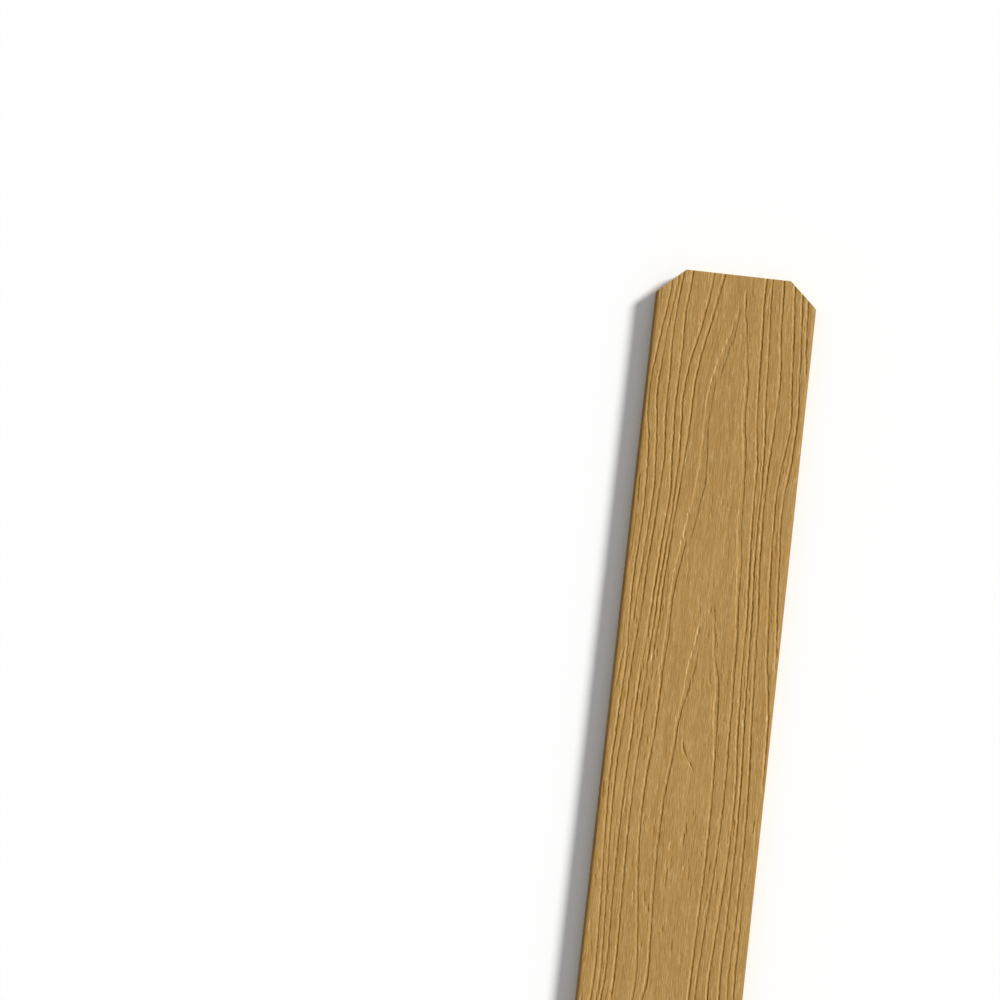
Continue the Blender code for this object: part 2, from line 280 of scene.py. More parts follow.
# and these have a steep left side, which shows as a short bright one and carries a painted highlight
PALE_MARKS = [
    (47, 12.9, 53, 12.6, 40), (10, 97.4, 30, 97.6, 25), (42, 39.6, 48, 39.4, 40), (49, 46.8, 57, 46.2, 65),
    (24, 45.2, 32, 43.8, 30), (12, 77, 25, 77, 30), (18, 83, 24, 83.2, 25), (50, 77.2, 56, 77.2, 35),
    (50, 86.2, 58, 86.5, 30), (28, 73.2, 42, 70.6, 40), (42, 70.4, 55, 67, 40), (55, 66, 62, 65.2, 55),
    (20, 117, 28, 117.2, 12), (91, 7, 96, 7.4, 45), (61, 64, 70, 62, 50), (73, 59.6, 81, 59.1, 50),
    (80, 58.2, 89, 57.6, 55), (89, 56.4, 98, 55.6, 70), (106, 55.8, 110, 57.2, 35), (98, 55, 105, 54.4, 50),
    (103, 53.9, 118, 53.4, 40), (62, 86, 67, 86.4, 35), (93, 84.8, 104, 85.2, 30), (104, 97, 110, 97.4, 40),
    (110, 103.2, 119, 104, 35), (112, 93.4, 118, 93.8, 30), (64, 134.6, 74, 135.4, 40),
    (128, 14.2, 137, 14.8, 25), (143, 34.3, 152, 34.4, 35), (157, 41.8, 172, 41.2, 30),
    (154, 27.6, 162, 28, 30), (168, 8.2, 178, 8.3, 35), (160, 105.3, 170, 105.4, 35),
    (158, 108.4, 168, 108.5, 35), (168, 129.7, 174, 130.8, 45), (138, 138.2, 152, 138.6, 30),
    (205, 9, 214, 9.4, 25), (212, 29.5, 218, 29.4, 40), (210, 48.5, 217, 48.9, 65),
    (221, 47.3, 235, 46.4, 65), (233, 45.6, 241, 45, 50), (206, 55.3, 213, 55.4, 35),
    (196, 76.2, 202, 76.6, 30), (190, 73.6, 196, 73.8, 25), (208, 68.5, 216, 68.8, 30),
    (220, 112.3, 238, 113, 40), (195, 128.2, 212, 128.2, 30), (218, 92.6, 230, 93.4, 40),
    (204, 91.6, 214, 91.4, 35), (250, 95.6, 262, 96.6, 35), (250, 53, 262, 53.6, 30),
    (283, 31.8, 292, 32.2, 40), (270, 115.4, 282, 115.8, 25), (290, 76, 297, 76.2, 40),
    (286, 41.2, 296, 41, 35), (255, 69, 262, 69, 20), (306, 68.3, 316, 67.5, 70),
    (314, 67.2, 325, 66.6, 55), (327, 65, 337, 64.5, 50), (335, 63.6, 350, 62.3, 50),
    (349, 62.2, 360, 61.8, 40), (333, 31.1, 343, 30.9, 60), (340, 38.6, 352, 38.6, 35),
    (312, 31, 320, 31.2, 30), (300, 137.4, 320, 137.6, 35), (320, 137.4, 342, 138.4, 35),
    (340, 131, 352, 132.4, 35), (351, 82.4, 357, 83, 30), (344, 106, 350, 107, 30),
    (360, 62, 370, 61.6, 30), (369, 88.3, 378, 88.8, 45), (374, 135.2, 382, 135.6, 90),
    (383, 135.8, 392, 135.8, 40), (408, 136.4, 418, 137.4, 40), (383, 115.2, 388, 115.4, 50),
    (392, 21, 404, 21, 35), (404, 37.2, 412, 37.4, 40), (410, 56.6, 416, 56.2, 45),
    (412, 12, 420, 11.4, 35), (400, 103.2, 406, 103.6, 35), (408, 92.6, 420, 93.6, 35),
    (383, 98.6, 389, 98.8, 30), (383, 57.4, 392, 57.4, 30), (411, 42.4, 417, 42.8, 20),
]
MARK_WIDTH = 1.6
# the widths of a mark's walls, and the strength of the painted highlight along its left wall
DARK_MARK = {"left_wall": 2.2, "right_wall": 0.85, "highlight_strength": 0.6}
PALE_MARK = {"left_wall": 0.85, "right_wall": 2.2, "highlight_strength": 2.2}
MARK_TAPER = 4.0
MARK_INTO = 0.35  # a mark goes deeper by this share of the groove that it lies in
# Further marks at random, on the stretch of the figure that isn't drawn above
RANDOM_MARKS = 110
DRAWN_TO = 440.0
RANDOM_LENGTH = (7, 18)
RANDOM_DEPTH = (0.12, 0.4)  # in millimetres
RANDOM_MARGIN = 2  # how far they keep from the board's sides
PALE_EVERY = 3  # every third of them is a pale one

# The short fibres between the grooves
FIBRES = 1300
FIBRE_LENGTH = (7, 36)
FIBRE_WIDTH = (0.35, 0.65)  # half of it
FIBRE_DEPTH = (0.08, 0.3)

# The composite's shades
LIGHT_STREAK = (0.496, 0.298, 0.094, 1)
DARK_STREAK = (0.366, 0.206, 0.057, 1)
PALE_SPECK = (0.620, 0.430, 0.200, 1)
DARK_SPECK = (0.220, 0.110, 0.030, 1)
# dark dashes of the grain, and painted shade on the grooves' walls that face away from the key light
DARK_GRAIN_AND_PAINTED_SHADE = (0.345, 0.158, 0.002, 1)
# pale dashes of the grain, and a painted highlight on the grooves' walls that face the key light
PALE_GRAIN_AND_PAINTED_HIGHLIGHT = (0.680, 0.478, 0.235, 1)
# painted shade along the eased edges and the sides
SIDE_SHADE = (0.250, 0.132, 0.026, 1)
SAWN_LIGHT = (0.560, 0.370, 0.165, 1)
SAWN_DARK = (0.400, 0.245, 0.095, 1)

# The noises in its shades, with the size of their grains in millimetres along x, y and z
LONG_STREAKS = {"size": (3.2, 120, 4), "offset": 11, "detail": 3}
STREAKS = {"size": (1.2, 24, 1.6), "offset": 23}
FINE_FIBRES = {"size": (0.8, 8, 1.0), "offset": 37}
SPECKS = {"size": (0.45, 1.6, 0.6), "offset": 51, "detail": 0}
DASHES = {"size": (1.0, 9, 1.3), "offset": 67, "detail": 1}
SAWN_GRAINS = {"size": (0.7, 0.7, 0.7), "offset": 5}
SAWN_SPECKS = {"size": (0.5, 0.5, 0.9), "offset": 19, "detail": 0}
SAW_SCORES = {"size": (0.45, 0.45, 14), "offset": 31}
OFFSET_ALONG = (1, 1.7, 0.6)  # the direction in which an offset shifts a noise

# How much each noise counts, and the height of the bump in millimetres
TONE_SHARES = (0.44, 0.31, 0.25)  # long streaks, streaks and fibres
BUMP_SHARES = (0.4, 0.3, 0.5)  # fibres, streaks and dashes
SAWN_BUMP_SHARES = (0.7, 0.3)  # scores and grains
BUMP = 0.45
SAWN_BUMP = 0.12

# What a value is laid out to: its two limits, and the result at each where that isn't 0 and 1
LIGHT_BY_TONE = (0.34, 0.66)
PALE_DASHES = (0.56, 0.70, 0, 0.3)
DARK_DASHES = (0.44, 0.30, 0, 0.35)
PALE_SPECKS = (0.72, 0.8, 0, 0.35)
DARK_SPECKS = (0.3, 0.22, 0, 0.4)
# painted shade by depth, at half strength on the flat and full on walls tilted away from the key light
PAINTED_SHADE_BY_DEPTH = (0.05, 0.55, 0, 0.9)
SHADE_AWAY_FROM_LIGHT = (-0.05, -0.3, 0.5, 1)
# painted highlight by depth, weaker on the flat and full on walls tilted towards the key light
PAINTED_HIGHLIGHT_BY_DEPTH = (0.1, 1.3, 0, 0.9)
HIGHLIGHT_TOWARD_LIGHT = (0.05, 0.3, 0.3, 1)
# where the painted shade along the eased edges and the sides lies
SIDE_SHADE_BAND = (0.0663, 0.0690)  # in metres from the middle of the board
SIDE_SHADE_SHIFT = 0.0006  # the painted shade along the sides begins further in at the left than at the right, by twice this
SIDE_SHADE_BY_TONE = (0.38, 0.62, 0.9, 0.6)
ROUGHNESS = (0.3, 0.7, 0.58, 0.74)
SPECULAR = (0, 0.6, 0.18, 0.04)  # less where the painted shade lies
SAWN_BY_GRAINS = (0.35, 0.65)
SAWN_PALE_SPECKS = (0.68, 0.76, 0, 0.6)
SAWN_DARK_SPECKS = (0.32, 0.24, 0, 0.5)
SAWN_ROUGHNESS = (0.3, 0.7, 0.75, 0.9)
SAWN_SPECULAR = 0.2

# The floor: white where it is seen, and less so in the light that it throws back
FLOOR_SEEN = (1.0, 1.0, 1.0, 1)
FLOOR_BOUNCE = (0.85, 0.85, 0.85, 1)
FLOOR_GAP = -0.05  # its height, in millimetres: a hair below the board's back
FLOOR_HALF = 12.0  # half its width, in metres
FLOOR_CORNERS = ((-1, -1), (1, -1), (1, 1), (-1, 1))

# The camera and the lights
CAMERA_PLACE = (-107.8, 488.5, 2040.1)  # in millimetres
CAMERA_TURN = (6.042, 1.422, 6.791)  # in degrees
LENS = 85
SENSOR = 36
SUN = 3.65
SUN_WIDTH = 14  # in degrees
SUN_FROM = (0.72, 0.42, 0.545)
SKY = 0.36  # the white all round: its light, and how it is seen
SKY_SEEN = 1.0

# The mesh
FACE_COLUMNS = 420
PLACES = 10  # for each column, the grooves' walls are looked for at this many places
CROWDING = 5.0  # how strongly the columns are drawn to the walls of the grooves
SETTLING = 25.0  # the length over which they come to the places where they crowd
STRAIGHT_EDGE = 4.0  # this near to the eased edges they run less and less with the grain
ARC_STEPS = 6
ROW_SPACING = 2.0
HEAD_ZONE = 60.0  # the length below the head whose rows slant towards the ears' cuts
ARRIS = 0.3  # the sawn edges are broken by this much
TRIANGLES = 190_000
FINE_STRETCH = 640.0  # the front keeps its finest relief over this length below the head
COARSE_SHARE = 0.55
WALL_ANGLE = 9  # a groove's wall that turns further than this from the land shows an edge, in degrees
CORNER_ANGLE = 50  # and so does a sawn corner
TOUCH = 0.05  # a vertex this near to an eased edge is on it
SAWN = 1  # the sawn ends' place among the mesh's materials
MIX_FIRST, MIX_SECOND, MIX_RESULT = 6, 7, 2  # the sockets for colours of a mix

rng = np.random.default_rng(5)


def in_scene(name, data):
    """A new object in the scene, with this data."""
    shown = bpy.data.objects.new(name, data)
    bpy.context.scene.collection.objects.link(shown)
    return shown


def vertices(mesh):
    """The places of a mesh's vertices, in metres."""
    points = np.zeros(3 * len(mesh.vertices), np.float32)
    mesh.vertices.foreach_get("co", points)
    return points.reshape(-1, 3)


def eased(share):
    """0 to 1 along a smooth step, for a share from 0 to 1."""
    share = np.clip(share, 0, 1)
    return share * share * (3 - 2 * share)


def along_curve(points, at):
    """The across, width and depth of a groove at each place of `at`, on a smooth curve."""
    points = np.array(points, float)
    knots, values = points[:, 0], points[:, 1:]
    slopes = np.gradient(values, knots, axis=0)
    i = np.clip(np.searchsorted(knots, at) - 1, 0, len(knots) - 2)
    step = (knots[i + 1] - knots[i])[:, None]
    t = (at - knots[i])[:, None] / step
    curve = (1 + 2 * t) * (1 - t) ** 2 * values[i] + t * (1 - t) ** 2 * step * slopes[i]
    curve += t * t * (3 - 2 * t) * values[i + 1] + t * t * (t - 1) * step * slopes[i + 1]
    return curve.T


def wander(at, by, phase):
    """A smooth wandering of about that much either way, along the board."""
    waves = sum(
        np.sin(2 * math.pi * at / length + phase * (n + 1)) for n, length in enumerate(WANDER_LENGTHS)
    )
    return by * waves / math.sqrt(len(WANDER_LENGTHS))


def filled_in(points):
    """A groove's points, each with its width and with its depth in millimetres."""
    whole = []
    for along, across, *width, depth in points:
        whole.append((along, across, width[0] if width else whole[-1][2], depth / HUNDREDTHS))
    return whole


def spread_out(raster, rows, columns):
    """A raster with each value spread over that many rows and columns."""
    for axis, count in enumerate((rows, columns)):
        raster = np.apply_along_axis(np.convolve, axis, raster, np.ones(count) / count, "same")
    return raster


class Figure:
    """What the roller prints in one turn: the depth at each place, on a raster."""

    def __init__(self):
        self.rows = int(round(REPEAT / RASTER_ALONG))
        self.step = REPEAT / self.rows
        self.along = self.step * np.arange(self.rows)
        self.across = np.arange(0, WIDTH + RASTER_ACROSS, RASTER_ACROSS)
        self.grooves = np.zeros((self.rows, len(self.across)))
        self.fibres = np.zeros_like(self.grooves)
        self.painted_shade = np.zeros_like(self.grooves)
        self.painted_highlight = np.zeros_like(self.grooves)
        self.heading = [[] for _ in self.along]

    def cut_groove(
        self, points, left_wall=BRIGHT_WALL, right_wall=DARK_WALL, taper=TAPER, into=0, highlight_strength=1
    ):
        """A groove through these points, with painted shade along its right wall and a painted highlight
        along its left wall.
        """
        first, last = points[0][0], points[-1][0]
        phase = rng.uniform(0, PHASES)
        for turn in (-1, 0, 1):
            at = self.along + turn * REPEAT
            rows = np.nonzero((at >= first) & (at <= last))[0]
            if not len(rows):
                continue
            at = at[rows]
            right, width, depth = along_curve(points, at)
            right = PLACE_SHIFT + PLACE_SCALE * right + wander(at, WANDER, phase)
            width = width + wander(at, WANDER, phase + WIDTH_PHASE)
            depth = depth * (1 + wander(at, DEPTH_WANDER, phase + DEPTH_PHASE))
            slope = np.gradient(right - width / 2, self.step) if len(rows) > 1 else [0.0]
            for row, place, lean in zip(rows, right - width / 2, slope):
                self.heading[row].append((place, lean))
            depth = DEEPER * np.maximum(depth, 0) * eased((at - first) / taper) * eased((last - at) / taper)
            right, left, depth = right[:, None], (right - width)[:, None], depth[:, None]
            descent = np.clip((self.across - left) / left_wall + 0.5, 0, 1)
            ascent = np.clip((right - self.across) / right_wall + 0.5, 0, 1)
            cut = depth * np.minimum(descent, ascent)
            self.grooves[rows] = np.maximum(self.grooves[rows], cut + into * self.grooves[rows])
            # painted shade at the foot of the right wall, which faces away from the key light
            into_right = np.clip((self.across - right) / PAINTED_SHADE_FADE + PAINTED_SHADE_START, 0, 1)
            painted_shade = cut * into_right * np.clip(PAINTED_SHADE_WIDTH / (right - left), 0, 1) * DARK_WALL / right_wall
            self.painted_shade[rows] = np.maximum(self.painted_shade[rows], painted_shade)
            # painted highlight along the left wall, which faces the key light
            painted_highlight = highlight_strength * depth * np.clip(1 - np.abs(self.across - left) / HIGHLIGHT_LINE, 0, 1)
            self.painted_highlight[rows] = np.maximum(self.painted_highlight[rows], painted_highlight)

    def cut_mark(self, start, at, end, to, depth, dark):
        """A short groove whose steep side lies at the place given."""
        right = 0 if dark else MARK_WIDTH
        points = [(start, at + right, MARK_WIDTH, depth), (end, to + right, MARK_WIDTH, depth)]
        shape = DARK_MARK if dark else PALE_MARK
        self.cut_groove(points, taper=min(MARK_TAPER, (end - start) / 2), into=MARK_INTO, **shape)

    def settle_headings(self):
        """How the grain leans at each place of the raster, from the grooves on either side."""
        self.lean = np.zeros_like(self.grooves)
        for row, found in enumerate(self.heading):
            places, leans = zip(*sorted(found))
            self.lean[row] = np.interp(self.across, places, leans)
        self.lean = spread_out(self.lean, *LEAN_SPREAD)

    def cut_fibre(self):
        """One short fibre that follows the grain from a random place."""
        length = rng.uniform(*FIBRE_LENGTH)
        half = rng.uniform(*FIBRE_WIDTH)
        depth = rng.uniform(*FIBRE_DEPTH) * half / FIBRE_WIDTH[1]
        count = int(length / self.step)
        start = rng.integers(self.rows)
        place = rng.uniform(0, WIDTH)
        for n in range(count):
            row = (start + n) % self.rows
            column = min(int(max(place, 0) / RASTER_ACROSS), len(self.across) - 1)
            place += self.lean[row, column] * self.step
            profile = np.clip(1 - np.abs(self.across - place) / half, 0, 1)
            taper = math.sin(math.pi * (n + 0.5) / count)
            np.maximum(self.fibres[row], depth * taper * profile, out=self.fibres[row])

    def finish(self):
        """The whole depth, and how steep it is, spread a little, for the mesh's columns."""
        self.depth = np.minimum(np.maximum(self.grooves, self.fibres), DEEPEST)
        # the fibres get painted shade too
        self.painted_shade += PAINTED_SHADE_OF_FIBRES * np.maximum(self.fibres - self.grooves, 0)
        self.steep = spread_out(np.abs(np.gradient(self.depth, RASTER_ACROSS, axis=1)), *STEEP_SPREAD)

    def read(self, raster, x, y, back):
        """A raster's value at places on the board's front or back face."""
        along = LENGTH / 2 - y + (BACK_TURN if back else 0)
        across = WIDTH / 2 + (-x if back else x)
        v = (along % REPEAT) / self.step
        u = np.clip(across / RASTER_ACROSS, 0, len(self.across) - SHORT_OF_LAST)
        row, column = v.astype(int) % self.rows, u.astype(int)
        below = (row + 1) % self.rows
        v, u = v - np.floor(v), u - np.floor(u)
        upper = raster[row, column] * (1 - u) + raster[row, column + 1] * u
        lower = raster[below, column] * (1 - u) + raster[below, column + 1] * u
        return upper * (1 - v) + lower * v


def roller_figure():
    figure = Figure()
    for points in GROOVES:
        figure.cut_groove(filled_in(points))
    figure.settle_headings()
    for marks, dark in ((DARK_MARKS, True), (PALE_MARKS, False)):
        for *place, depth in marks:
            figure.cut_mark(*place, depth / HUNDREDTHS, dark)
    for n in range(RANDOM_MARKS):
        start = rng.uniform(DRAWN_TO, REPEAT)
        length = rng.uniform(*RANDOM_LENGTH)
        at = rng.uniform(RANDOM_MARGIN, WIDTH - RANDOM_MARGIN)
        row = int((start + length / 2) / figure.step) % figure.rows
        lean = figure.lean[row, int(at / RASTER_ACROSS)]
        depth = rng.uniform(*RANDOM_DEPTH)
        figure.cut_mark(start, at, start + length, at + lean * length, depth, dark=n % PALE_EVERY > 0)
    for _ in range(FIBRES):
        figure.cut_fibre()
    figure.finish()
    return figure


def head_line(x):
    """How far along +Y the sawn head reaches at each x."""
    into_ear = np.maximum(np.abs(x) - (WIDTH / 2 - EAR_ACROSS), 0)
    return LENGTH / 2 - into_ear * EAR_ALONG / EAR_ACROSS


def board_rows():
    rows = int((LENGTH - 2 * ARRIS) / (ROW_SPACING * 1))
    inner = np.linspace(-LENGTH / 2 + ARRIS, LENGTH / 2 - ARRIS, rows)
    return np.concatenate([[-LENGTH / 2], inner, [LENGTH / 2]])


def relief_kept(x, y, back):
    """The share of the relief that counts in the thinning: less where it isn't seen close."""
    on_flat = eased((WIDTH / 2 - EDGE_RADIUS - np.abs(x)) / SHOULDER)
    far = 1.0 if back else eased((LENGTH / 2 - FINE_STRETCH - y) / HEAD_ZONE)
    return 1 - (1 - COARSE_SHARE) * on_flat * far


class Face:
    """The front or the back face and its eased edges, as rows of points from left to right."""

    def __init__(self, figure, back):
        self.figure = figure
        self.back = back
        self.rows = board_rows()

    def row_y(self, x):
        """Rows near the head slant towards the line of the saw cuts."""
        in_head = np.maximum(self.rows - (LENGTH / 2 - HEAD_ZONE), 0)[:, None] / HEAD_ZONE
        return self.rows[:, None] + in_head * (head_line(x) - LENGTH / 2)

    def sample(self, raster, x):
        return self.figure.read(raster, x, self.row_y(x), self.back)

    def columns(self):
        """Columns across the flat of the face, that run with the grain and crowd on the grooves' walls."""
        flat = WIDTH / 2 - EDGE_RADIUS
        even = np.linspace(-flat, flat, PLACES * FACE_COLUMNS)
        everywhere = np.broadcast_to(even, (len(self.rows), len(even)))
        crowd = np.cumsum(1 + CROWDING * self.sample(self.figure.steep, everywhere), axis=1)
        crowd = (crowd - crowd[:, :1]) / (crowd[:, -1:] - crowd[:, :1])
        share = np.linspace(0, 1, FACE_COLUMNS)
        columns = np.stack([np.interp(share, line, even) for line in crowd])
        lean = self.sample(self.figure.lean, everywhere) * (1 if self.back else -1)
        lean = lean * eased((flat - np.abs(even)) / STRAIGHT_EDGE)
        for row in range(1, len(self.rows)):
            before = columns[row - 1]
            step = self.rows[row] - self.rows[row - 1]
            settled = before + (columns[row] - before) * (1 - math.exp(-step / SETTLING))
            columns[row] = np.sort(settled + np.interp(before, even, lean[row]) * step)
        columns[:, 0], columns[:, -1] = -flat, flat
        return self.meet_corners(columns)

    def meet_corners(self, columns):
        """Near the head the columns shift a little, so that one ends on each corner of the saw cuts."""
        head, ear = columns[-1], WIDTH / 2 - EAR_ACROSS
        knots = [head[0], head[np.abs(head + ear).argmin()], head[np.abs(head - ear).argmin()], head[-1]]
        shift = np.interp(head, knots, [0, -ear - knots[1], ear - knots[2], 0])
        near = eased((self.rows - (LENGTH / 2 - HEAD_ZONE)) / HEAD_ZONE)
        return columns + near[:, None] * shift

    def points(self):
        flat = WIDTH / 2 - EDGE_RADIUS
        face = self.columns()
        turn = np.linspace(math.pi / 2, 0, ARC_STEPS, endpoint=False)
        arc = np.broadcast_to(np.sin(turn), (len(self.rows), ARC_STEPS))
        x = np.hstack([-flat - EDGE_RADIUS * arc, face, flat + EDGE_RADIUS * arc[:, ::-1]])
        nx = np.hstack([-arc, np.zeros_like(face), arc[:, ::-1]])
        nz = np.sqrt(1 - nx * nx)
        shoulder = SHOULDER_DROP * np.clip(1 - (WIDTH / 2 - np.abs(x)) / SHOULDER, 0, 1) ** 2
        depth = nz * (self.sample(self.figure.depth, x) + shoulder)
        depth[[0, -1]] += ARRIS
        y = self.row_y(x)
        drop = EDGE_RADIUS * (1 - nz) + nz * depth * relief_kept(x, y, self.back)
        x = x - nx * depth
        z = drop if self.back else THICKNESS - drop
        return np.stack([x, y, z], -1)


def dense_board(figure):
    """The skin as a tube of quads, open at the sawn ends, before it is thinned."""
    front = Face(figure, back=False).points()
    back = Face(figure, back=True).points()[:, ::-1]
    points = np.concatenate([front, back], 1)
    rows, count = points.shape[:2]
    ring = np.arange(count)
    row = np.arange(rows - 1)[:, None] * count
    after = np.roll(ring, -1)
    quads = np.stack([row + ring, row + after, row + count + after, row + count + ring], -1).reshape(-1, 4)
    mesh = bpy.data.meshes.new("board_dense")
    mesh.vertices.add(points.size // 3)
    mesh.vertices.foreach_set("co", (points * MM).astype(np.float32).ravel())
    mesh.loops.add(quads.size)
    mesh.loops.foreach_set("vertex_index", quads.astype(np.int32).ravel())
    mesh.polygons.add(len(quads))
    mesh.polygons.foreach_set("loop_start", np.arange(0, quads.size, 4, dtype=np.int32))
    mesh.update(calc_edges=True)
    return mesh


def thinned(mesh):
    """The same skin with long triangles along the grain, few where it is flat."""
    dense = in_scene("dense", mesh)
    decimate = dense.modifiers.new("thin", "DECIMATE")
    decimate.ratio = min(1.0, TRIANGLES / (2 * len(mesh.polygons)))
    graph = bpy.context.evaluated_depsgraph_get()
    thin = bpy.data.meshes.new_from_object(dense.evaluated_get(graph))
    x, y, z = vertices(thin).T / MM
    back = z < THICKNESS / 2
    kept = np.where(back, relief_kept(x, y, True), relief_kept(x, y, False))
    drop = np.where(back, z, THICKNESS - z) / kept
    points = np.stack([x, y, np.where(back, drop, THICKNESS - drop)], -1) * MM
    thin.vertices.foreach_set("co", np.clip(points, LOW, HIGH).astype(np.float32).ravel())
    bpy.data.objects.remove(dense)
    bpy.data.meshes.remove(mesh)
    return thin


def close_ends(mesh):
    """Caps the sawn ends: one flat at the foot, and three at the head that meet on the ears' corners."""
    skin = bmesh.new()
    skin.from_mesh(mesh)
    rim = [edge for edge in skin.edges if edge.is_boundary]
    foot = [edge for edge in rim if edge.verts[0].co.y < 0]
    head = [edge for edge in rim if edge.verts[0].co.y > 0]
    around_head = sorted({vertex for edge in head for vertex in edge.verts}, key=lambda vertex: vertex.index)
    ear = (WIDTH / 2 - EAR_ACROSS) * MM
    corners = []
    for corner in (-ear, ear):
        for front in (False, True):
            face = [vertex for vertex in around_head if (vertex.co.z > THICKNESS / 2 * MM) == front]
            nearest = min(face, key=lambda vertex: abs(vertex.co.x - corner))
            nearest.co.x = corner
            corners.append(nearest)
    for edge in foot:
        for vertex in edge.verts:
            vertex.co.y = -LENGTH / 2 * MM
    for vertex in around_head:
        vertex.co.y = head_line(vertex.co.x / MM) * MM
    left, right = skin.edges.new(corners[:2]), skin.edges.new(corners[2:])
    middle = {edge: (edge.verts[0].co.x + edge.verts[1].co.x) / 2 for edge in head}
    flats = [foot]
    flats.append([edge for edge in head if middle[edge] < -ear] + [left])
    flats.append([edge for edge in head if abs(middle[edge]) < ear] + [left, right])
    flats.append([edge for edge in head if middle[edge] > ear] + [right])
    for flat in flats:
        cap = bmesh.ops.contextual_create(skin, geom=flat)["faces"]
        for triangle in bmesh.ops.triangulate(skin, faces=cap)["faces"]:
            triangle.material_index = SAWN
    for edge in rim:
        edge.smooth = False
    bmesh.ops.recalc_face_normals(skin, faces=skin.faces)
    skin.to_mesh(mesh)
    skin.free()


def mark_vertices(mesh, figure):
    """How much painted shade and painted highlight each vertex carries, for the material."""
    x, y, z = vertices(mesh).T / MM
    for name, raster in (("painted_shade", figure.painted_shade), ("painted_highlight", figure.painted_highlight)):
        front, back = figure.read(raster, x, y, False), figure.read(raster, x, y, True)
        value = np.where(z > THICKNESS / 2, front, back)
        mesh.attributes.new(name, "FLOAT", "POINT").data.foreach_set("value", value.astype(np.float32))


def sharp_edges(mesh):
    sharp = np.zeros(len(mesh.edges), bool)
    mesh.attributes["sharp_edge"].data.foreach_get("value", sharp)
    return sharp


def sharp_beyond(mesh, degrees):
    mesh.set_sharp_from_angle(angle=math.radians(degrees))
    return sharp_edges(mesh)


def crisp_walls(mesh):
    """Smooth shading that stops at the saw cuts and the grooves' walls, but runs round the eased edges."""
    rim = sharp_edges(mesh)
    mesh.shade_smooth()
    x = np.abs(vertices(mesh)[:, 0])
    ends = np.zeros(2 * len(mesh.edges), np.int32)
    mesh.edges.foreach_get("vertices", ends)
    eased_edge = np.all(x[ends.reshape(-1, 2)] > (WIDTH / 2 - EDGE_RADIUS - TOUCH) * MM, axis=1)
    corners = sharp_beyond(mesh, CORNER_ANGLE)
    sharp = rim | np.where(eased_edge, corners, sharp_beyond(mesh, WALL_ANGLE))
    mesh.attributes["sharp_edge"].data.foreach_set("value", sharp)


def embossed_board():
    figure = roller_figure()
    mesh = thinned(dense_board(figure))
    close_ends(mesh)
    mesh.name = "embossed_board"
    mark_vertices(mesh, figure)
    mesh.materials.clear()
    mesh.materials.append(composite())
    mesh.materials.append(sawn_composite())
    crisp_walls(mesh)
    board = in_scene("embossed_board", mesh)
    even = board.modifiers.new("even", "WEIGHTED_NORMAL")
    even.keep_sharp = True
    return board


class Nodes:
    """A material's node tree, with short ways to add to it."""

    def __init__(self, name):
        self.material = bpy.data.materials.new(name)
        self.material.use_nodes = True
        self.tree = self.material.node_tree
        self.shader = self.tree.nodes["Principled BSDF"]
        self.coordinates = self.add("ShaderNodeTexCoord")
        self.place = self.coordinates.outputs["Object"]

    def add(self, kind, **inputs):
        node = self.tree.nodes.new(kind)
        for name, value in inputs.items():
            self.join(value, node.inputs[name])
        return node

    def join(self, value, socket):
        if isinstance(value, bpy.types.NodeSocket):
            self.tree.links.new(value, socket)
        else:
            socket.default_value = value

    def math(self, operation, first, second=0.0):
        node = self.tree.nodes.new("ShaderNodeMath")
        node.operation = operation
        self.join(first, node.inputs[0])
        self.join(second, node.inputs[1])
        return node.outputs[0]

    def weighed(self, values, shares):
        """The sum of the values, each times its share."""
        terms = [self.math("MULTIPLY", value, share) for value, share in zip(values, shares)]
        total = terms[0]
        for term in terms[1:]:
            total = self.math("ADD", total, term)
        return total

    def spread(self, value, low, high, to_low=0.0, to_high=1.0):
        """A value's range from low to high laid out from to_low to to_high."""
        node = self.add("ShaderNodeMapRange", Value=value)
        for name, limit in (("From Min", low), ("From Max", high), ("To Min", to_low), ("To Max", to_high)):
            node.inputs[name].default_value = limit
        return node.outputs["Result"]

    def noise(self, size, offset, detail=2.0):
        """Noise whose grains have this size in millimetres along x, y and z."""
        mapping = self.add("ShaderNodeMapping", Vector=self.place)
        mapping.inputs["Scale"].default_value = [1 / (length * MM) for length in size]
        mapping.inputs["Location"].default_value = [offset * share for share in OFFSET_ALONG]
        noise = self.add("ShaderNodeTexNoise", Vector=mapping.outputs["Vector"], Scale=1.0, Detail=detail)
        return noise.outputs["Fac"]

    def of_vertices(self, name):
        """A value that the mesh's vertices carry."""
        node = self.add("ShaderNodeAttribute")
        node.attribute_name = name
        return node.outputs["Fac"]

    def mix(self, share, first, second):
        node = self.tree.nodes.new("ShaderNodeMix")
        node.data_type = "RGBA"
        self.join(share, node.inputs["Factor"])
        self.join(first, node.inputs[MIX_FIRST])
        self.join(second, node.inputs[MIX_SECOND])
        return node.outputs[MIX_RESULT]

    def bump(self, height, distance):
        """Relief of that height in millimetres for a height value from 0 to 1."""
        node = self.add("ShaderNodeBump", Height=height, Distance=distance * MM)
        self.join(node.outputs["Normal"], self.shader.inputs["Normal"])


